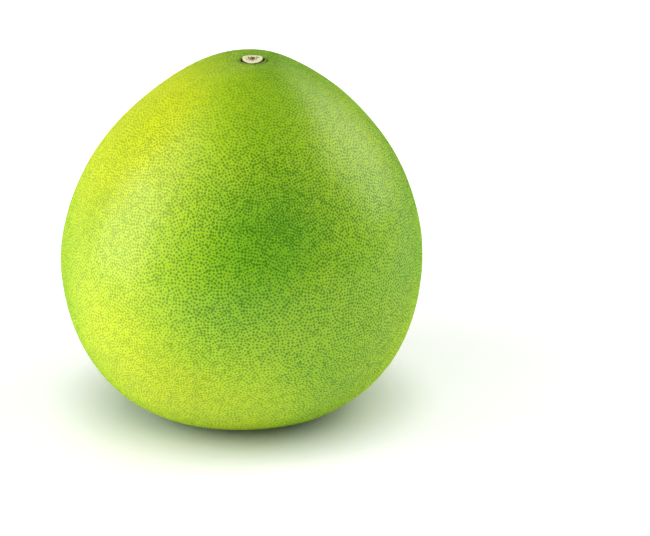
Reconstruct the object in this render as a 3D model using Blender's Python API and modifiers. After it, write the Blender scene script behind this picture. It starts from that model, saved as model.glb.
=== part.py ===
"""A whole pomelo, resting on its blossom end.

Metres, +Z up. The origin is the middle of the flat that the fruit rests on.
Three pieces: the fruit in its peel, the dried calyx in the hollow of the
crown, and the short stub of the cut stem that stands on the calyx.
"""

import math

import bmesh
import bpy
from mathutils import Matrix, Vector

# Fruit, overall
MAX_RADIUS = 0.0766  # at the belly
WIDEST_HEIGHT = 0.0651  # of the belly over the table
RIM_HEIGHT = 0.1535  # of the rim round the stem hollow
FOOT_RADIUS = 0.0240  # of the flat that it rests on

# Fruit, how far each curve of its side runs straight before it turns
RIM_REACH = 0.0123  # outwards from the rim
RIM_FALL = 0.0009  # downwards over that reach
CROWN_REACH = 0.0539  # upwards from the belly
BELLY_REACH = 0.0270  # downwards from the belly
FOOT_REACH = 0.0379  # outwards from the foot

# Fruit, what keeps it from being a turned shape
CROWN_LEAN = 0.00285  # of the crown towards +X
LEAN_POWER = 1.5
STEM_SHIFT = 0.0027  # of the stem hollow, further towards +X
SHIFT_FADE = 0.0150  # distance out from the rim over which that shift dies away
LOBE_RISE = 0.0005  # of three shallow lobes over the round
LOBES = 3
LOBE_TURN = math.radians(75)

# Hollow round the stem: a soft bowl with a small socket in its middle
SOCKET_RADIUS = 0.0058  # of its floor
SOCKET_DEPTH = 0.0024
SOCKET_FLARE = 0.0004  # how much wider its mouth is than its floor
BOWL_RUN = 0.0058  # from the socket's mouth out to the rim
BOWL_DEPTH = 0.0009
BOWL_REACH = 0.0016
RIM_INNER_REACH = 0.0024
RIM_RADIUS = SOCKET_RADIUS + SOCKET_FLARE + BOWL_RUN

# Blossom end, under the fruit
BLOSSOM_RADIUS = 0.0070
BLOSSOM_DEPTH = 0.0012

# Calyx and stem
GAP = 0.0003  # between pieces that touch
CALYX_CLEARANCE = 0.0007  # to the socket's wall
CALYX_RADIUS = SOCKET_RADIUS - CALYX_CLEARANCE
CALYX_THICK = 0.0008
CALYX_LOBE = 0.0003  # of five lobes, in and out
CALYX_LOBES = 5
CALYX_EDGE = 0.00025  # bevel
STUB_CLEARANCE = 0.0007  # to the socket's wall
STUB_FRONT = SOCKET_RADIUS - STUB_CLEARANCE  # from the middle to the round front
STUB_BACK = 0.0029  # from the middle to the flat back
STUB_HALF_WIDTH = math.sqrt(STUB_FRONT**2 - STUB_BACK**2)
STUB_HEIGHT = 0.0018
STUB_TILT = math.radians(7)  # of the cut face, towards the front
STUB_EDGE = 0.0002  # bevel

# Fineness
TURN_STEPS = 60
CROWN_STEPS = 15
BELLY_STEPS = 12
BOWL_STEPS = 4
RING_STEPS = 40


def clear_scene():
    for thing in list(bpy.data.objects):
        bpy.data.objects.remove(thing, do_unlink=True)


def new_collection(name):
    collection = bpy.data.collections.new(name)
    bpy.context.scene.collection.children.link(collection)
    return collection


def new_material(name, colour, roughness):
    material = bpy.data.materials.new(name)
    material.use_nodes = True
    shader = material.node_tree.nodes["Principled BSDF"]
    shader.inputs["Base Color"].default_value = (*colour, 1.0)
    shader.inputs["Roughness"].default_value = roughness
    shader.inputs["Metallic"].default_value = 0.0
    return material


def new_object(name, mesh, collection, material):
    thing = bpy.data.objects.new(name, mesh)
    mesh.materials.append(material)
    collection.objects.link(thing)
    return thing


def bezier(start, start_handle, end_handle, end, steps):
    """Points of a cubic curve, without its first one."""
    points = []
    for i in range(1, steps + 1):
        t = i / steps
        u = 1.0 - t
        points.append(
            start * u**3
            + start_handle * (3 * u * u * t)
            + end_handle * (3 * u * t * t)
            + end * t**3
        )
    return points


def side_profile():
    """The fruit's outline at +X, as (radius, height), from the middle of the hollow to underneath."""
    bowl_height = RIM_HEIGHT - BOWL_DEPTH
    socket_height = bowl_height - SOCKET_DEPTH
    bowl = Vector((SOCKET_RADIUS + SOCKET_FLARE, bowl_height))
    rim = Vector((RIM_RADIUS, RIM_HEIGHT))
    belly = Vector((MAX_RADIUS, WIDEST_HEIGHT))
    foot = Vector((FOOT_RADIUS, 0.0))
    rim_way = Vector((RIM_REACH, -RIM_FALL))
    points = [
        Vector((0.0, socket_height)),
        Vector((SOCKET_RADIUS, socket_height)),
        bowl,
    ]
    points += bezier(
        bowl,
        bowl + Vector((BOWL_REACH, 0.0)),
        rim - rim_way.normalized() * RIM_INNER_REACH,
        rim,
        BOWL_STEPS,
    )
    points += bezier(rim, rim + rim_way, belly + Vector((0.0, CROWN_REACH)), belly, CROWN_STEPS)
    points += bezier(
        belly,
        belly - Vector((0.0, BELLY_REACH)),
        foot + Vector((FOOT_REACH, 0.0)),
        foot,
        BELLY_STEPS,
    )
    points += [
        Vector((BLOSSOM_RADIUS, 0.0)),
        Vector((BLOSSOM_RADIUS / 2, BLOSSOM_DEPTH * 0.8)),
        Vector((0.0, BLOSSOM_DEPTH)),
    ]
    return points


def fade(share):
    """1 at 0, 0 at 1 and beyond, level at both ends."""
    share = min(max(share, 0.0), 1.0)
    return 1.0 - share * share * (3.0 - 2.0 * share)


def grown(point):
    """Where a point of the turned shape lies on the grown fruit."""
    radius = math.hypot(point.x, point.y)
    turn = math.atan2(point.y, point.x)
    up = min(max((point.z - WIDEST_HEIGHT) / (RIM_HEIGHT - WIDEST_HEIGHT), 0.0), 1.0)
    lean = CROWN_LEAN * up**LEAN_POWER
    shift = STEM_SHIFT * fade((radius - RIM_RADIUS) / SHIFT_FADE) * up
    outer = max(radius - FOOT_RADIUS, 0.0) / (MAX_RADIUS - FOOT_RADIUS)
    lobe = 1.0 + LOBE_RISE * outer * math.cos(LOBES * turn + LOBE_TURN) / MAX_RADIUS
    return Vector((point.x * lobe + lean + shift, point.y * lobe, point.z))


def stem_place():
    """The middle of the socket's floor."""
    floor_height = RIM_HEIGHT - BOWL_DEPTH - SOCKET_DEPTH
    return grown(Vector((0.0, 0.0, floor_height)))


def make_fruit(collection):
    """The turned outline, given its lean, its off-centre stem and its lobes."""
    outline = bpy.data.meshes.new("fruit_outline")
    points = [(p.x, 0.0, p.y) for p in side_profile()]
    edges = [(i, i + 1) for i in range(len(points) - 1)]
    outline.from_pydata(points, edges, [])
    turned = bpy.data.objects.new("fruit_turned", outline)
    collection.objects.link(turned)
    screw = turned.modifiers.new("turn", "SCREW")
    screw.axis = "Z"
    screw.angle = math.tau
    screw.steps = TURN_STEPS
    screw.render_steps = TURN_STEPS
    screw.use_merge_vertices = True
    screw.merge_threshold = 0.00001
    bpy.context.view_layer.update()
    depsgraph = bpy.context.evaluated_depsgraph_get()
    mesh = bpy.data.meshes.new_from_object(turned.evaluated_get(depsgraph))
    bpy.data.objects.remove(turned, do_unlink=True)
    for vertex in mesh.vertices:
        vertex.co = grown(vertex.co)
    mesh.name = "fruit"
    mesh.shade_smooth()
    return new_object("fruit", mesh, collection, new_material("green_peel", (0.36, 0.56, 0.05), 0.42))


def lobed_radius(turn):
    return CALYX_RADIUS - CALYX_LOBE + CALYX_LOBE * math.cos(CALYX_LOBES * turn)


def stub_outline(turn):
    """The cut stem's outline: round in front, flat behind with round corners."""
    across = math.cos(turn)
    along = math.sin(turn)
    if along > 0.0:
        return Vector((across * STUB_HALF_WIDTH, STUB_BACK * math.sqrt(along)))
    return Vector((across * STUB_HALF_WIDTH, STUB_FRONT * along))


def disc(height):
    """A flat drum of radius 1 standing on z = 0."""
    drum = bmesh.new()
    bmesh.ops.create_cone(
        drum,
        cap_ends=True,
        segments=RING_STEPS,
        radius1=1.0,
        radius2=1.0,
        depth=height,
        matrix=Matrix.Translation((0.0, 0.0, height / 2)),
    )
    return drum


def bevel_rims(drum, width):
    """Rounds the two rims where a cap meets the side."""
    rims = [e for e in drum.edges if e.calc_face_angle(0.0) > math.radians(60)]
    bmesh.ops.bevel(drum, geom=rims, offset=width, segments=1, profile=0.5, affect="EDGES", material=-1)


def finish_mesh(name, drum):
    mesh = bpy.data.meshes.new(name)
    drum.to_mesh(mesh)
    drum.free()
    mesh.shade_smooth()
    mesh.set_sharp_from_angle(angle=math.radians(30))
    return mesh


def make_calyx(collection):
    """A thin five-lobed disc on the socket's floor."""
    drum = disc(CALYX_THICK)
    for vertex in drum.verts:
        turn = math.atan2(vertex.co.y, vertex.co.x)
        vertex.co.x *= lobed_radius(turn)
        vertex.co.y *= lobed_radius(turn)
    bevel_rims(drum, CALYX_EDGE)
    mesh = finish_mesh("calyx", drum)
    calyx = new_object("calyx", mesh, collection, new_material("dried_calyx", (0.16, 0.15, 0.04), 0.75))
    calyx.location = stem_place() + Vector((0.0, 0.0, GAP))
    return calyx


def make_stem_stub(collection):
    """The cut stem on the calyx, with its cut face tilted a little to the front."""
    drum = disc(STUB_HEIGHT)
    for vertex in drum.verts:
        edge = stub_outline(math.atan2(vertex.co.y, vertex.co.x))
        top = vertex.co.z > STUB_HEIGHT / 2
        vertex.co.x = edge.x
        vertex.co.y = edge.y
        if top:
            vertex.co.z += edge.y * math.tan(STUB_TILT)
    bevel_rims(drum, STUB_EDGE)
    mesh = finish_mesh("stem_stub", drum)
    stub = new_object("stem_stub", mesh, collection, new_material("cut_stem", (0.78, 0.74, 0.38), 0.7))
    stub.location = stem_place() + Vector((0.0, 0.0, GAP + CALYX_THICK + GAP))
    return stub


def main():
    clear_scene()
    pomelo = new_collection("pomelo")
    make_fruit(pomelo)
    make_calyx(pomelo)
    make_stem_stub(pomelo)


main()
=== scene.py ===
"""A whole pomelo on a pale floor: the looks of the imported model.

The peel is a net of oil glands. Each gland is one small pit in the mesh, and
the peel's material draws a dark round dot over it. The calyx and the cut stem
stand in the hollow of the crown. Metres, +Z up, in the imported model's frame.
"""

import math
import random

import bmesh
import bpy
import numpy as np
from mathutils import Matrix, Vector, noise


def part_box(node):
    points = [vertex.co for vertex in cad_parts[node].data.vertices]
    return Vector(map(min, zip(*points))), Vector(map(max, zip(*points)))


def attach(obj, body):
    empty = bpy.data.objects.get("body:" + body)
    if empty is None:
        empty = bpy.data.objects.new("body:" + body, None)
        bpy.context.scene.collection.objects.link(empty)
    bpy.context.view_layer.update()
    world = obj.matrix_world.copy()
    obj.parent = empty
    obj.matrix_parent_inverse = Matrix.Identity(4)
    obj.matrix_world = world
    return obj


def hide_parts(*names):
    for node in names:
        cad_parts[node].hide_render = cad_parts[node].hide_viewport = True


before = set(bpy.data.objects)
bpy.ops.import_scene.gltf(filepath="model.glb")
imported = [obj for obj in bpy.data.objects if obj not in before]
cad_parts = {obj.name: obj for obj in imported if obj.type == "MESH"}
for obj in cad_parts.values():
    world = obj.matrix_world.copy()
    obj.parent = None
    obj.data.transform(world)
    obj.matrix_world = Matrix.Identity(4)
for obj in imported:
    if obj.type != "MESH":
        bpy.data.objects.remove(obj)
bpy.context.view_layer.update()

MM = 0.001

# The fruit's outline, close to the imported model's: what its box gives, and the reach of each curve
FRUIT_LOW, FRUIT_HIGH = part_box("fruit")
RIM_HEIGHT = FRUIT_HIGH[2]
MAX_RADIUS = (FRUIT_HIGH[0] - FRUIT_LOW[0]) / 2
WIDEST_HEIGHT = 65.1 * MM
FOOT_RADIUS = 24 * MM
RIM_REACH = 12.0 * MM
RIM_FALL = 2.0 * MM
CROWN_REACH = 55.1 * MM
BELLY_REACH = 27 * MM
FOOT_REACH = 37.9 * MM

# What keeps it from being a turned shape
CROWN_LEAN = 3.45 * MM
LEAN_POWER = 1.5
STEM_SHIFT = 2.11 * MM
SHIFT_FADE = 11 * MM
LOBE_RISE = 0.5 * MM
LOBES = 3
LOBE_TURN = math.radians(75)

# Hollow round the stem, with a rounded lip, and the hollow at the blossom end
SOCKET_RADIUS = 5.8 * MM
SOCKET_DEPTH = 2.4 * MM
SOCKET_FLARE = 0.4 * MM
LIP_RADIUS = 0.7 * MM
BOWL_RUN = 5.8 * MM
BOWL_DEPTH = 0.9 * MM
BOWL_REACH = 1.6 * MM
RIM_INNER_REACH = 2.4 * MM
RIM_RADIUS = SOCKET_RADIUS + SOCKET_FLARE + BOWL_RUN
BLOSSOM_RADIUS = 7 * MM
BLOSSOM_DEPTH = 1.2 * MM

# Net of oil glands
NET_LEVEL = 4
NET_CUTS = 7
SCATTER_ROUNDS = 2
SCATTER_STEP = 0.0057  # on a net of radius 1
PIT_DEPTH = 0.09 * MM
GLAND_SPREAD = 0.22  # of the dots' sizes round 1
SEED = 7
CROWN_REFINED = ((math.radians(8.4), 1), (math.radians(6.2), 1))  # reach from the stem, and cuts

# Unevenness of the skin
SWELL_SIZE = 28 * MM
SWELL_RISE = 0.30 * MM
RIPPLE_SIZE = 6 * MM
RIPPLE_RISE = 0.05 * MM
FOOT_FADE = 7 * MM
CROWN_FADE = 12 * MM
CROWN_SMOOTHNESS = 0.8

# Peel's dots, by distance from the gland in millimetres
DOT_CORE = 0.30
DOT_EDGE = 0.58
DOT_RAGGED = 0.5
DOT_RAGGED_SIZE = 0.8 * MM
DOT_STRENGTH = 1.04
DOT_LESS_IN_YELLOW = 0.32
DOT_LESS_AT_CROWN = 0.35
CROWN_BAND = (122 * MM, 150 * MM)
DOT_RELIEF = 0.09 * MM

# Peel's colours, gloss and mottling
DEEP_GREEN = (0.19, 0.46, 0.004)
LIME = (0.42, 0.64, 0.006)
HOT_YELLOW = (0.66, 0.76, 0.008)
DOT_TINT = (0.31, 0.46, 0.2)
PEEL_ROUGHNESS = 0.3
EDGE_ROUGHNESS = 0.95
EDGE_BAND = (0.35, 0.95)  # from facing the eye to edge on
ROUGHNESS_MOTTLE = 0.2
PEEL_SPECULAR = 0.48
YELLOW_BASE = 0.2
# middle, reach, strength. The patches on the front, below 0 in Y, mix the skin's own tone with painted
# light: the yellow ones brighten where the lamps and the floor's bounce fall, and the one with strength
# below 0 is painted shade, a deep green front. The patches behind are the skin's own tone.
TONE_AND_PAINTED_LIGHT_PATCHES = (
    ((10 * MM, -95 * MM, 105 * MM), 55 * MM, -0.55),
    ((-33 * MM, -5 * MM, 128 * MM), 65 * MM, 0.65),
    ((-45 * MM, -30 * MM, 105 * MM), 85 * MM, 0.55),
    ((-50 * MM, -55 * MM, 40 * MM), 65 * MM, 0.55),
    ((-5 * MM, -60 * MM, 20 * MM), 60 * MM, 0.45),
    ((45 * MM, -25 * MM, 125 * MM), 50 * MM, 0.30),
    ((60 * MM, -20 * MM, 30 * MM), 55 * MM, 0.30),
    ((45 * MM, 55 * MM, 60 * MM), 60 * MM, 0.40),
    ((-30 * MM, 70 * MM, 40 * MM), 65 * MM, 0.35),
    ((10 * MM, 50 * MM, 125 * MM), 50 * MM, 0.30),
)
BROAD_SIZE = 30 * MM
BROAD_MOTTLE = 0.14
FINE_SIZE = 6 * MM
FINE_MOTTLE = 0.12
CLOUD_SIZE = 2.5 * MM
SHADE_MOTTLE = 0.035
GRAIN_SIZE = 0.5 * MM
GRAIN_SHARE = 0.25

# Calyx and cut stem
PIECE_GAP = 0.3 * MM
CALYX_THICK = 0.8 * MM
CALYX_PLATE = 0.7 * MM
CALYX_REACH = 5.95 * MM
CALYX_INNER = 0.79
STUB_CALYX_GAP = 0.35 * MM
CALYX_RISE = 2.25 * MM
CALYX_LOBES = 5
CALYX_TURN = 0.6
CALYX_STEPS = 80
CALYX_MOTTLE = 0.8 * MM
CALYX_GREEN = (0.26, 0.42, 0.05)
CALYX_OLIVE = (0.22, 0.26, 0.07)
# near black: painted shade for the crease round the stem
CALYX_PAINTED_SHADE = (0.06, 0.065, 0.012)
STUB_FRONT = SOCKET_RADIUS - 0.7 * MM
STUB_BACK = 2.9 * MM
STUB_HALF_WIDTH = math.sqrt(STUB_FRONT**2 - STUB_BACK**2)
STUB_HEIGHT = 1.8 * MM
STUB_TILT = math.radians(7)
STUB_STEPS = 72
STUB_RINGS = (0.06, 0.10, 0.12, 0.14, 0.16, 0.18, 0.14)
FIBRE_WIDTH = 0.36 * MM
FIBRE_LENGTH = 1.8 * MM
FIBRE_RAGGED = 1.7
SPECK_SIZE = 0.5 * MM
SPECK_STRENGTH = 0.3
PITH_REACH = 0.16  # shares of the way from the middle to the bark
WOOD_REACH = 0.66
STEM_CREAM = (0.98, 0.98, 0.62)
STEM_WARM = (0.92, 0.80, 0.50)
PITH_BROWN = (0.15, 0.055, 0.03)
# the bark's own olive, made darker as painted shade on the stub's side in the hollow
BARK_AND_SHADE_BROWN = (0.075, 0.08, 0.015)

# Studio
CAMERA_TARGET = (35.38 * MM, 0.0, 60.07 * MM)
CAMERA_RISE = 21.0
CAMERA_DISTANCE = 1.3
CAMERA_LENS = 169.1
FRUIT_MIDDLE = (0.0, 0.0, 70 * MM)
FLOOR_HALF = 6.0
FLOOR_WHITE = 0.82
# distances from the fruit's middle, and how brightly the floor glows over them
FLOOR_GLOW = ((0.045, 0.090, 0.42), (0.09, 0.40, 0.25), (0.3, 1.2, 0.45))
FLOOR_BOUNCE = 0.2  # how much more of that glow lights the fruit
ROOM_LIGHT = 0.02
SOFTBOX_DISTANCE = 0.9
# name, turn from the front, rise, width, height, brightness, whether the peel mirrors it
SOFTBOXES = (
    ("key_low", -80, 17, 0.68, 0.66, 3.4, True),
    ("key_high", -75, 46, 0.5, 0.5, 1.7, True),
    ("key_front", -45, 18, 0.5, 0.5, 1.7, False),
    ("front_high", -15, 46, 0.5, 0.5, 1.1, False),
    ("fill", 50, 32, 1.0, 0.8, 1.05, False),
    ("rim", 117, 28, 0.8, 0.7, 2.4, True),
    ("top", 0, 86, 1.3, 1.3, 0.25, False),
    ("back_right", 165, 18, 0.5, 0.5, 0.6, True),
    ("back_left", -165, 46, 0.5, 0.5, 0.6, True),
)


def bezier(start, start_handle, end_handle, end, steps):
    """Points of a cubic curve, without its first one."""
    t = np.linspace(0.0, 1.0, steps + 1)[1:, None]
    u = 1.0 - t
    return start * u**3 + start_handle * 3 * u * u * t + end_handle * 3 * u * t * t + end * t**3


def side_profile():
    """The fruit's outline as rows of (radius, height), from the middle of the hollow to underneath."""
    bowl_height = RIM_HEIGHT - BOWL_DEPTH
    floor_height = bowl_height - SOCKET_DEPTH
    mouth = SOCKET_RADIUS + SOCKET_FLARE
    lip_start = np.array((mouth - LIP_RADIUS / 5, bowl_height - LIP_RADIUS))
    lip_end = np.array((mouth + LIP_RADIUS, bowl_height))
    rim = np.array((RIM_RADIUS, RIM_HEIGHT))
    belly = np.array((MAX_RADIUS, WIDEST_HEIGHT))
    foot = np.array((FOOT_RADIUS, 0.0))
    rim_way = np.array((RIM_REACH, -RIM_FALL))
    inner_way = rim_way / np.linalg.norm(rim_way) * RIM_INNER_REACH
    up = np.array((0.0, 1.0))
    out = np.array((1.0, 0.0))
    rows = [
        np.array([(0.0, floor_height), (SOCKET_RADIUS, floor_height), lip_start]),
        bezier(lip_start, lip_start + up * LIP_RADIUS * 0.6, lip_end - out * LIP_RADIUS * 0.6, lip_end, 8),
        bezier(lip_end, lip_end + out * BOWL_REACH, rim - inner_way, rim, 24),
        bezier(rim, rim + rim_way, belly + up * CROWN_REACH, belly, 160),
        bezier(belly, belly - up * BELLY_REACH, foot + out * FOOT_REACH, foot, 120),
        np.array([(BLOSSOM_RADIUS, 0.0)]),
        bezier(
            np.array((BLOSSOM_RADIUS, 0.0)),
            np.array((BLOSSOM_RADIUS * 0.7, 0.0)),
            np.array((BLOSSOM_RADIUS * 0.5, BLOSSOM_DEPTH)),
            np.array((0.0, BLOSSOM_DEPTH)),
            16,
        ),
    ]
    return np.vstack(rows)


def fade(share):
    """1 at 0, 0 at 1 and beyond, level at both ends."""
    share = np.clip(share, 0.0, 1.0)
    return 1.0 - share * share * (3.0 - 2.0 * share)


def grown(points):
    """Where points of the turned shape lie on the grown fruit."""
    radius = np.hypot(points[:, 0], points[:, 1])
    turn = np.arctan2(points[:, 1], points[:, 0])
    up = np.clip((points[:, 2] - WIDEST_HEIGHT) / (RIM_HEIGHT - WIDEST_HEIGHT), 0.0, 1.0)
    lean = CROWN_LEAN * up**LEAN_POWER
    shift = STEM_SHIFT * fade((radius - SOCKET_RADIUS - SOCKET_FLARE) / SHIFT_FADE) * up
    outer = np.maximum(radius - FOOT_RADIUS, 0.0) / (MAX_RADIUS - FOOT_RADIUS)
    lobe = 1.0 + LOBE_RISE * outer * np.cos(LOBES * turn + LOBE_TURN) / MAX_RADIUS
    return np.stack([points[:, 0] * lobe + lean + shift, points[:, 1] * lobe, points[:, 2]], axis=1)


def to_sphere(net):
    for vertex in net.verts:
        vertex.co.normalize()


def beautify(net):
    bmesh.ops.beautify_fill(net, faces=net.faces[:], edges=net.edges[:], method="ANGLE")


def scatter(net, draw, step):
    """Moves each gland a little along the surface."""
    for vertex in net.verts:
        push = Vector((draw.uniform(-1, 1), draw.uniform(-1, 1), draw.uniform(-1, 1)))
        push -= vertex.co * push.dot(vertex.co)
        vertex.co += push * step
    to_sphere(net)


def even_out(net, share):
    """Moves each point a share of the way to the middle of its neighbours."""
    bmesh.ops.smooth_vert(
        net, verts=net.verts[:], factor=share, use_axis_x=True, use_axis_y=True, use_axis_z=True
    )
    to_sphere(net)


def gland_net():
    """A round net of uneven cells with a gland in each. A triangle lies in one cell."""
    draw = random.Random(SEED)
    net = bmesh.new()
    bmesh.ops.create_icosphere(net, subdivisions=NET_LEVEL, radius=1.0)
    bmesh.ops.subdivide_edges(net, edges=net.edges[:], cuts=NET_CUTS, use_grid_fill=True)
    to_sphere(net)
    for _ in range(SCATTER_ROUNDS):
        scatter(net, draw, SCATTER_STEP)
        beautify(net)
        even_out(net, 0.5)
        beautify(net)
    bmesh.ops.join_triangles(
        net, faces=net.faces[:], angle_face_threshold=math.pi, angle_shape_threshold=math.pi
    )
    even_out(net, 0.5)
    made = bmesh.ops.poke(net, faces=net.faces[:])
    to_sphere(net)
    net.verts.index_update()
    glands = {vertex.index for vertex in made["verts"]}
    cell = net.faces.layers.int.new("cell")
    for face in net.faces:
        face[cell] = next(corner.index for corner in face.verts if corner.index in glands)
    return net, glands


def refine_crown(net, reach, cuts):
    """Splits the faces near the stem, where the hollow needs a finer mesh."""
    level = math.cos(reach)
    near = [e for e in net.edges if all(v.co.z > level for v in e.verts)]
    bmesh.ops.subdivide_edges(net, edges=near, cuts=cuts, use_grid_fill=True)
    bmesh.ops.triangulate(net, faces=[f for f in net.faces if len(f.verts) > 3])
    to_sphere(net)


def placed(directions):
    """Where points of the round net lie on the fruit, evenly spread along its outline."""
    outline = side_profile()
    steps = np.linalg.norm(np.diff(outline, axis=0), axis=1)
    run = np.concatenate(([0.0], np.cumsum(steps))) / steps.sum()
    polar = np.arccos(np.clip(directions[:, 2], -1.0, 1.0)) / math.pi
    radius = np.interp(polar, run, outline[:, 0])
    height = np.interp(polar, run, outline[:, 1])
    turn = np.arctan2(directions[:, 1], directions[:, 0])
    return grown(np.stack([radius * np.cos(turn), radius * np.sin(turn), height], axis=1))


def crown_axis():
    """The middle of the socket's floor."""
    return placed(np.array([(0.0, 0.0, 1.0)]))[0]


def wander(place):
    """The unevenness of a grown fruit at one place: broad swells and small ripples."""
    swell = noise.noise(place / SWELL_SIZE)
    ripple = noise.noise(place / RIPPLE_SIZE)
    return SWELL_RISE * swell + RIPPLE_RISE * ripple


def shape_skin(net, glands):
    """Moves the round net onto the fruit and presses its pits in."""
    places = placed(np.array([v.co for v in net.verts]))
    for vertex, place in zip(net.verts, places):
        vertex.co = place
    net.normal_update()
    middle = crown_axis()
    for vertex in net.verts:
        across = math.hypot(vertex.co.x - middle[0], vertex.co.y - middle[1])
        off_foot = 1.0 - float(fade(vertex.co.z / FOOT_FADE))
        in_crown = float(fade((across - RIM_RADIUS) / CROWN_FADE)) if vertex.co.z > WIDEST_HEIGHT else 0.0
        push = wander(vertex.co) * off_foot * (1.0 - in_crown)
        if vertex.index in glands:
            push -= PIT_DEPTH * (1.0 - in_crown * CROWN_SMOOTHNESS)
        vertex.co += vertex.normal * push
    for vertex in net.verts:
        vertex.co.z = max(vertex.co.z, 0.0)


def write_cells(mesh):
    """Stores at each corner the way from its gland, in millimetres, and the gland's own size."""
    places = np.empty(len(mesh.vertices) * 3)
    mesh.vertices.foreach_get("co", places)
    places = places.reshape(-1, 3)
    corner_vertex = np.empty(len(mesh.loops), dtype=np.int32)
    mesh.loops.foreach_get("vertex_index", corner_vertex)
    cell = np.empty(len(mesh.polygons), dtype=np.int32)
    mesh.attributes["cell"].data.foreach_get("value", cell)
    corner_cell = np.repeat(cell, 3)
    offset = (places[corner_vertex] - places[corner_cell]) / MM
    way = mesh.attributes.new("gland_way", "FLOAT_VECTOR", "CORNER")
    way.data.foreach_set("vector", offset.astype(np.float32).ravel())
    sizes = np.random.default_rng(SEED).normal(1.0, GLAND_SPREAD, len(places)).clip(0.6, 1.4)
    size = mesh.attributes.new("gland_size", "FLOAT", "CORNER")
    size.data.foreach_set("value", sizes[corner_cell].astype(np.float32))


def make_peel():
    """The skin, from the net of glands."""
    net, glands = gland_net()
    for reach, cuts in CROWN_REFINED:
        refine_crown(net, reach, cuts)
    net.verts.index_update()
    shape_skin(net, glands)
    mesh = bpy.data.meshes.new("peel")
    net.to_mesh(mesh)
    net.free()
    mesh.shade_smooth()
    write_cells(mesh)
    mesh.materials.append(peel_material())
    peel = bpy.data.objects.new("peel", mesh)
    bpy.context.scene.collection.objects.link(peel)
    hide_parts("fruit")
    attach(peel, "root")


# ---- calyx and stem


def finish_piece(name, shape, material, node):
    """Turns a bmesh in its place into a shown piece that stands for a node."""
    mesh = bpy.data.meshes.new(name)
    shape.to_mesh(mesh)
    shape.free()
    mesh.shade_smooth()
    mesh.materials.append(material)
    piece = bpy.data.objects.new(name, mesh)
    bpy.context.scene.collection.objects.link(piece)
    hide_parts(node)
    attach(piece, "root")


def calyx_section():
    """Half of the calyx's cross-section, from the axis over its ring and back underneath."""
    return [
        (0.0, CALYX_PLATE),
        (CALYX_REACH * 0.62, CALYX_PLATE),
        (CALYX_REACH * 0.76, CALYX_PLATE * 1.1),
        (CALYX_REACH * 0.82, CALYX_RISE * 0.55),
        (CALYX_REACH * 0.87, CALYX_RISE * 0.90),
        (CALYX_REACH * 0.92, CALYX_RISE),
        (CALYX_REACH * 0.97, CALYX_RISE * 0.96),
        (CALYX_REACH * 1.0, CALYX_RISE * 0.80),
        (CALYX_REACH * 0.98, CALYX_RISE * 0.45),
        (CALYX_REACH * 0.93, CALYX_RISE * 0.08),
        (CALYX_REACH * 0.85, 0.0),
        (0.0, 0.0),
    ]


def stub_reaches():
    """The cut stem's outline as a table of angles round its middle, and one of reaches."""
    degrees = range(-181, 182)
    points = [stub_outline(math.tau * step / 360) for step in degrees]
    angles = np.unwrap([math.atan2(point.y, point.x) for point in points])
    angles -= angles[degrees.index(0)]
    return angles, [point.length for point in points]


def make_calyx():
    """A dried five-lobed cup, spun round the stem and then notched and wrinkled."""
    shape = bmesh.new()
    ring = [shape.verts.new((radius, 0.0, height)) for radius, height in calyx_section()]
    edges = [shape.edges.new(pair) for pair in zip(ring, ring[1:])]
    bmesh.ops.spin(
        shape,
        geom=ring + edges,
        cent=(0, 0, 0),
        axis=(0, 0, 1),
        angle=math.tau,
        steps=CALYX_STEPS,
        use_merge=True,
    )
    bmesh.ops.remove_doubles(shape, verts=shape.verts[:], dist=0.001 * MM)
    bmesh.ops.subdivide_edges(shape, edges=shape.edges[:], cuts=1, use_grid_fill=True, smooth=0.8)
    bmesh.ops.triangulate(shape, faces=shape.faces[:])
    bmesh.ops.recalc_face_normals(shape, faces=shape.faces[:])
    foot = Vector(crown_axis()) + Vector((0.0, 0.0, PIECE_GAP))
    stub_angles, reaches = stub_reaches()
    for vertex in shape.verts:
        turn = math.atan2(vertex.co.y, vertex.co.x)
        radius = math.hypot(vertex.co.x, vertex.co.y)
        notch = max(0.0, math.cos(CALYX_LOBES * turn + CALYX_TURN)) ** 6
        outer = max(0.0, radius / CALYX_REACH - 0.75) * 4.0
        high = vertex.co.z / CALYX_RISE
        wrinkle = noise.noise(Vector((turn * 5.0, radius / (1.2 * MM), 3.0)))
        shrink = 1.0 - 0.04 * notch * outer + 0.012 * wrinkle * outer
        share = radius / CALYX_REACH
        inner = float(np.interp(turn, stub_angles, reaches)) + STUB_CALYX_GAP
        spread = radius
        if share > CALYX_INNER:
            spread = inner + (share - CALYX_INNER) / (1.0 - CALYX_INNER) * (CALYX_REACH - inner)
        elif radius > 0.0:
            spread = share / CALYX_INNER * inner
        if radius > 0.0:
            vertex.co.x *= shrink * spread / radius
            vertex.co.y *= shrink * spread / radius
        vertex.co.z -= high * outer * (0.35 * notch + 0.06 * wrinkle) * CALYX_RISE
        vertex.co += foot
    finish_piece("dried_calyx", shape, calyx_material(), "calyx")


def stub_outline(turn):
    """The cut stem's outline: round in front, flat behind with round corners."""
    across = math.cos(turn)
    along = math.sin(turn)
    back = STUB_BACK * math.sqrt(max(along, 0.0))
    return Vector((across * STUB_HALF_WIDTH, back + STUB_FRONT * min(along, 0.0), 0.0))


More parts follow.
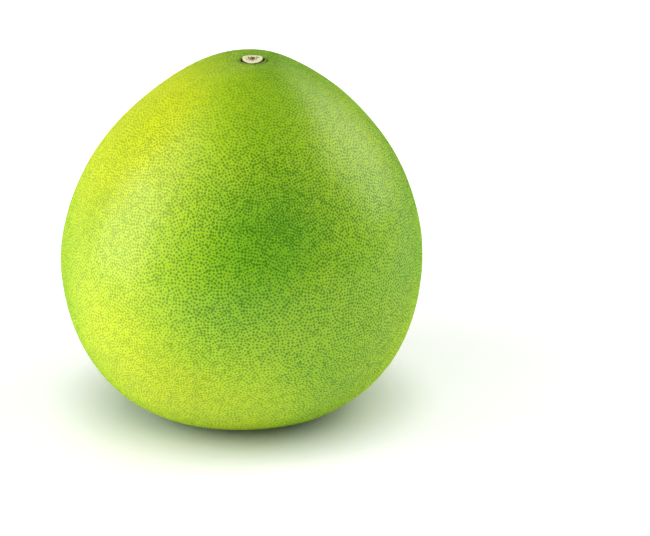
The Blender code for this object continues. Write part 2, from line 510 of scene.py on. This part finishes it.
def make_cut_stem():
    """A short woody stub. Rings on its cut face carry the bark, the wood and the pith."""
    shape = bmesh.new()
    bmesh.ops.create_cone(
        shape,
        cap_ends=True,
        segments=STUB_STEPS,
        radius1=1.0,
        radius2=1.0,
        depth=1.0,
        matrix=Matrix.Translation((0.0, 0.0, 0.5)),
    )
    top = max(shape.faces, key=lambda face: face.calc_center_median().z)
    for width in STUB_RINGS:
        bmesh.ops.inset_region(shape, faces=[top], thickness=width, use_even_offset=True)
    bmesh.ops.poke(shape, faces=[top])
    uprights = [e for e in shape.edges if abs(e.verts[0].co.z - e.verts[1].co.z) > 0.5]
    bmesh.ops.subdivide_edges(shape, edges=uprights, cuts=3, use_grid_fill=True)
    bmesh.ops.triangulate(shape, faces=shape.faces[:])
    ring = shape.verts.layers.float.new("ring")
    foot = Vector(crown_axis()) + Vector((0.0, 0.0, PIECE_GAP * 2 + CALYX_THICK))
    for vertex in shape.verts:
        turn = math.atan2(vertex.co.y, vertex.co.x)
        radius = min(1.0, math.hypot(vertex.co.x, vertex.co.y))
        on_face = vertex.co.z > 0.99
        vertex[ring] = radius if on_face else 2.0 - vertex.co.z
        place = stub_outline(turn) * radius
        grain = noise.noise(Vector((turn * 4.0, radius * 5.0, 1.0)))
        if on_face:
            pith = float(fade(radius / 0.55))
            edge = max(0.0, radius - 0.9) * 10.0
            relief = -0.10 * pith + 0.05 * grain * (1.0 - edge) - 0.10 * edge
            place.z = STUB_HEIGHT + relief * MM + place.y * math.tan(STUB_TILT)
        else:
            place *= 1.0 + 0.02 * grain - 0.05 * (1.0 - vertex.co.z)
            place.z = vertex.co.z * (STUB_HEIGHT - 0.10 * MM + place.y * math.tan(STUB_TILT))
        vertex.co = place + foot
    bmesh.ops.recalc_face_normals(shape, faces=shape.faces[:])
    finish_piece("cut_stem", shape, stem_material(), "stem_stub")


# ---- materials


def add(tree, kind, settings=None, **inputs):
    """A node with its settings, and its inputs by name, each a value or another node's output."""
    node = tree.nodes.new("ShaderNode" + kind)
    for name, value in (settings or {}).items():
        setattr(node, name, value)
    for name, value in inputs.items():
        key = int(name[1:]) if name[1:].isdigit() else name.replace("_", " ")
        if isinstance(value, bpy.types.NodeSocket):
            tree.links.new(value, node.inputs[key])
        else:
            node.inputs[key].default_value = value
    return node


def new_material(name):
    material = bpy.data.materials.new(name)
    material.use_nodes = True
    tree = material.node_tree
    return material, tree, tree.nodes["Principled BSDF"]


def spot(tree, place, middle, reach):
    """1 at a middle, falling to 0 at a reach from it."""
    away = add(tree, "VectorMath", {"operation": "DISTANCE"}, i0=place, i1=middle)
    return ease(tree, away.outputs["Value"], 0.0, reach, 1.0, 0.0, "SMOOTHERSTEP")


def ease(tree, value, low, high, at_low, at_high, kind="SMOOTHSTEP"):
    """A value brought softly from one range to another."""
    return add(
        tree,
        "MapRange",
        {"interpolation_type": kind},
        Value=value,
        From_Min=low,
        From_Max=high,
        To_Min=at_low,
        To_Max=at_high,
    ).outputs["Result"]


def math_node(tree, operation, first, second=0.0):
    return add(tree, "Math", {"operation": operation}, i0=first, i1=second).outputs[0]


def mix(tree, share, first, second, blend="MIX"):
    return add(
        tree,
        "Mix",
        {"data_type": "RGBA", "blend_type": blend},
        i0=share,
        i6=first,
        i7=second,
    ).outputs[2]


def centred(tree, texture, strength):
    """A noise's value, brought to vary round 0."""
    return math_node(tree, "MULTIPLY", math_node(tree, "SUBTRACT", texture.outputs["Fac"], 0.5), strength)


def peel_material():
    """Green to yellow skin under darker dots, one over each gland. Its patches on the front carry painted
    light and painted shade.
    """
    material, tree, shader = new_material("green_peel")
    place = add(tree, "TexCoord").outputs["Object"]
    way = add(tree, "Attribute", {"attribute_name": "gland_way"}).outputs["Vector"]
    size = add(tree, "Attribute", {"attribute_name": "gland_size"}).outputs["Fac"]
    away = add(tree, "VectorMath", {"operation": "LENGTH"}, i0=way).outputs["Value"]
    edges = add(tree, "TexNoise", None, Vector=place, Scale=1 / DOT_RAGGED_SIZE, Detail=1.0)
    ragged = centred(tree, edges, DOT_RAGGED)
    scaled = math_node(tree, "ADD", math_node(tree, "DIVIDE", away, size), ragged)
    dot = ease(tree, scaled, DOT_CORE, DOT_EDGE, 1.0, 0.0)

    # how yellow: soft patches, on the front partly painted light and painted shade, broad mottling, finer
    # mottling
    yellow = YELLOW_BASE
    # the front patches paint light where the lamps fall and paint shade on the deep green front
    for middle, reach, strength in TONE_AND_PAINTED_LIGHT_PATCHES:
        patch = math_node(tree, "MULTIPLY", spot(tree, place, middle, reach), strength)
        yellow = math_node(tree, "ADD", patch, yellow)
    broad = add(tree, "TexNoise", None, Vector=place, Scale=1 / BROAD_SIZE, Detail=3.0, Roughness=0.5)
    fine = add(tree, "TexNoise", None, Vector=place, Scale=1 / FINE_SIZE, Detail=3.0, Roughness=0.55)
    for texture, strength in ((broad, BROAD_MOTTLE), (fine, FINE_MOTTLE)):
        yellow = math_node(tree, "ADD", yellow, centred(tree, texture, strength * 2))
    ramp = add(tree, "ValToRGB", None, Fac=yellow)
    stops = ramp.color_ramp.elements
    stops[0].position = 0.0
    stops[0].color = (*DEEP_GREEN, 1)
    stops[1].position = 1.0
    stops[1].color = (*HOT_YELLOW, 1)
    middle = stops.new(0.5)
    middle.color = (*LIME, 1)
    skin = ramp.outputs["Color"]
    darker = mix(tree, 1.0, skin, (*DOT_TINT, 1), "MULTIPLY")
    height = add(tree, "SeparateXYZ", None, Vector=place).outputs["Z"]
    crown = ease(tree, height, *CROWN_BAND, 1.0, 1.0 - DOT_LESS_AT_CROWN)
    pale = ease(tree, yellow, 0.1, 0.8, DOT_STRENGTH, DOT_STRENGTH - DOT_LESS_IN_YELLOW)
    share = math_node(tree, "MULTIPLY", math_node(tree, "MULTIPLY", dot, crown), pale)
    dotted = mix(tree, share, skin, darker)
    cloud = add(tree, "TexNoise", None, Vector=place, Scale=1 / CLOUD_SIZE, Detail=2.0).outputs["Fac"]
    shade = ease(tree, cloud, 0.3, 0.7, 1.0 - SHADE_MOTTLE, 1.0 + SHADE_MOTTLE)
    clouded = add(tree, "VectorMath", {"operation": "SCALE"}, i0=dotted, Scale=shade).outputs["Vector"]
    tree.links.new(clouded, shader.inputs["Base Color"])

    grain = add(tree, "TexNoise", None, Vector=place, Scale=1 / GRAIN_SIZE, Detail=2.0, Roughness=0.5)
    raised = math_node(tree, "MULTIPLY", grain.outputs["Fac"], GRAIN_SHARE)
    relief = math_node(tree, "SUBTRACT", raised, dot)
    bump = add(tree, "Bump", None, Strength=1.0, Distance=DOT_RELIEF, Height=relief)
    tree.links.new(bump.outputs["Normal"], shader.inputs["Normal"])
    facing = add(tree, "LayerWeight", None, Blend=0.5).outputs["Facing"]
    rough = ease(tree, facing, *EDGE_BAND, PEEL_ROUGHNESS, EDGE_ROUGHNESS)
    rough = math_node(tree, "ADD", rough, centred(tree, fine, ROUGHNESS_MOTTLE))
    tree.links.new(rough, shader.inputs["Roughness"])
    shader.inputs["Specular IOR Level"].default_value = PEEL_SPECULAR
    return material


def calyx_material():
    """Green on the outer ring, with painted shade, near black, in the crease round the stem."""
    material, tree, shader = new_material("dried_calyx")
    place = add(tree, "TexCoord").outputs["Object"]
    middle = crown_axis()
    apart = add(tree, "VectorMath", {"operation": "DISTANCE"}, i0=place, i1=tuple(middle)).outputs["Value"]
    outer = ease(tree, apart, CALYX_REACH * 0.80, CALYX_REACH, 0.0, 1.0)
    mottle = add(tree, "TexNoise", None, Vector=place, Scale=1 / CALYX_MOTTLE, Detail=4.0, Roughness=0.6)
    green = mix(tree, mottle.outputs["Fac"], (*CALYX_GREEN, 1), (*CALYX_OLIVE, 1))
    # the inner ring, round the stem, is painted shade; the outer ring is the calyx's own green
    tree.links.new(mix(tree, outer, (*CALYX_PAINTED_SHADE, 1), green), shader.inputs["Base Color"])
    bump = add(tree, "Bump", None, Strength=0.7, Distance=0.1 * MM, Height=mottle.outputs["Fac"])
    tree.links.new(bump.outputs["Normal"], shader.inputs["Normal"])
    shader.inputs["Roughness"].default_value = 0.75
    shader.inputs["Specular IOR Level"].default_value = 0.3
    return material


def stem_material():
    """Cream wood round a brown fibrous pith, with olive bark on the side, made dark there partly as
    painted shade.
    """
    material, tree, shader = new_material("cut_stem")
    place = add(tree, "TexCoord").outputs["Object"]
    ring = add(tree, "Attribute", {"attribute_name": "ring"}).outputs["Fac"]
    stretched = add(tree, "Mapping", None, Vector=place, Scale=(1 / FIBRE_WIDTH, 1 / FIBRE_LENGTH, 1.0))
    fibre = add(tree, "TexNoise", None, Vector=stretched.outputs["Vector"], Scale=1.0, Detail=3.0)
    speck = add(tree, "TexNoise", None, Vector=place, Scale=1 / SPECK_SIZE, Detail=3.0, Roughness=0.6)
    ragged = centred(tree, fibre, FIBRE_RAGGED)
    ramp = add(tree, "ValToRGB", None, Fac=math_node(tree, "ADD", ring, ragged))
    stops = ramp.color_ramp.elements
    stops[0].position = PITH_REACH
    stops[0].color = (*PITH_BROWN, 1)
    stops[1].position = WOOD_REACH
    stops[1].color = (*STEM_CREAM, 1)
    warmth = math_node(tree, "MULTIPLY", speck.outputs["Fac"], SPECK_STRENGTH)
    tone = mix(tree, warmth, ramp.outputs["Color"], (*STEM_WARM, 1), "MULTIPLY")
    # bark on the side and at the rim of the cut face; its darkness is partly painted shade
    bark = add(tree, "MapRange", None, Value=ring, From_Min=0.97, From_Max=1.10).outputs["Result"]
    tree.links.new(mix(tree, bark, tone, (*BARK_AND_SHADE_BROWN, 1)), shader.inputs["Base Color"])
    bump = add(tree, "Bump", None, Strength=0.8, Distance=0.12 * MM, Height=fibre.outputs["Fac"])
    tree.links.new(bump.outputs["Normal"], shader.inputs["Normal"])
    shader.inputs["Roughness"].default_value = 0.7
    shader.inputs["Specular IOR Level"].default_value = 0.3
    return material


# ---- studio


def aim(thing, target):
    way = Vector(target) - thing.location
    thing.rotation_euler = way.to_track_quat("-Z", "Y").to_euler()


def around(target, turn, rise, distance):
    """A place seen from the target: turn to the right of the front, rise above the level."""
    turn = math.radians(turn)
    rise = math.radians(rise)
    return Vector(target) + distance * Vector(
        (math.sin(turn) * math.cos(rise), -math.cos(turn) * math.cos(rise), math.sin(rise))
    )


def make_camera():
    camera = bpy.data.objects.new("camera", bpy.data.cameras.new("camera"))
    bpy.context.scene.collection.objects.link(camera)
    camera.data.sensor_width = 36
    camera.data.lens = CAMERA_LENS
    camera.data.clip_start = 0.05
    camera.data.clip_end = 50
    camera.location = around(CAMERA_TARGET, 0, CAMERA_RISE, CAMERA_DISTANCE)
    aim(camera, CAMERA_TARGET)
    bpy.context.scene.camera = camera


def softbox(name, turn, rise, width, height, brightness, mirrored):
    light = bpy.data.lights.new(name, "AREA")
    light.shape = "RECTANGLE"
    light.size = width
    light.size_y = height
    light.energy = brightness * math.pi * width * height
    lamp = bpy.data.objects.new(name, light)
    bpy.context.scene.collection.objects.link(lamp)
    lamp.visible_camera = False
    lamp.visible_glossy = mirrored
    lamp.location = around(FRUIT_MIDDLE, turn, rise, SOFTBOX_DISTANCE)
    aim(lamp, FRUIT_MIDDLE)


def make_floor():
    sheet = bmesh.new()
    bmesh.ops.create_grid(sheet, x_segments=1, y_segments=1, size=FLOOR_HALF)
    mesh = bpy.data.meshes.new("floor")
    sheet.to_mesh(mesh)
    sheet.free()
    floor = bpy.data.objects.new("floor", mesh)
    material, tree, shader = new_material("pale_floor")
    shader.inputs["Base Color"].default_value = (FLOOR_WHITE, FLOOR_WHITE, FLOOR_WHITE, 1)
    shader.inputs["Roughness"].default_value = 0.9
    shader.inputs["Specular IOR Level"].default_value = 0.0
    shader.inputs["Emission Color"].default_value = (1, 1, 1, 1)
    place = add(tree, "TexCoord").outputs["Object"]
    away = add(tree, "VectorMath", {"operation": "LENGTH"}, i0=place).outputs["Value"]
    glow = 0.0
    for start, end, strength in FLOOR_GLOW:
        glow = math_node(tree, "ADD", ease(tree, away, start, end, 0.0, strength), glow)
    path = add(tree, "LightPath").outputs
    share = math_node(tree, "SUBTRACT", 1.0, path["Is Glossy Ray"])
    bounce = math_node(tree, "MULTIPLY", path["Is Diffuse Ray"], FLOOR_BOUNCE)
    share = math_node(tree, "ADD", share, bounce)
    tree.links.new(math_node(tree, "MULTIPLY", glow, share), shader.inputs["Emission Strength"])
    mesh.materials.append(material)
    bpy.context.scene.collection.objects.link(floor)


def make_world():
    world = bpy.data.worlds.new("studio")
    bpy.context.scene.world = world
    world.use_nodes = True
    tree = world.node_tree
    background = tree.nodes["Background"]
    background.inputs["Color"].default_value = (1, 1, 1, 1)
    seen = add(tree, "LightPath").outputs["Is Camera Ray"]
    strength = add(tree, "MapRange", None, Value=seen, To_Min=ROOM_LIGHT, To_Max=1.0)
    tree.links.new(strength.outputs["Result"], background.inputs["Strength"])


def make_studio():
    bpy.context.scene.view_settings.view_transform = "Standard"
    make_world()
    make_floor()
    make_camera()
    for lamp in SOFTBOXES:
        softbox(*lamp)


make_peel()
make_calyx()
make_cut_stem()
make_studio()
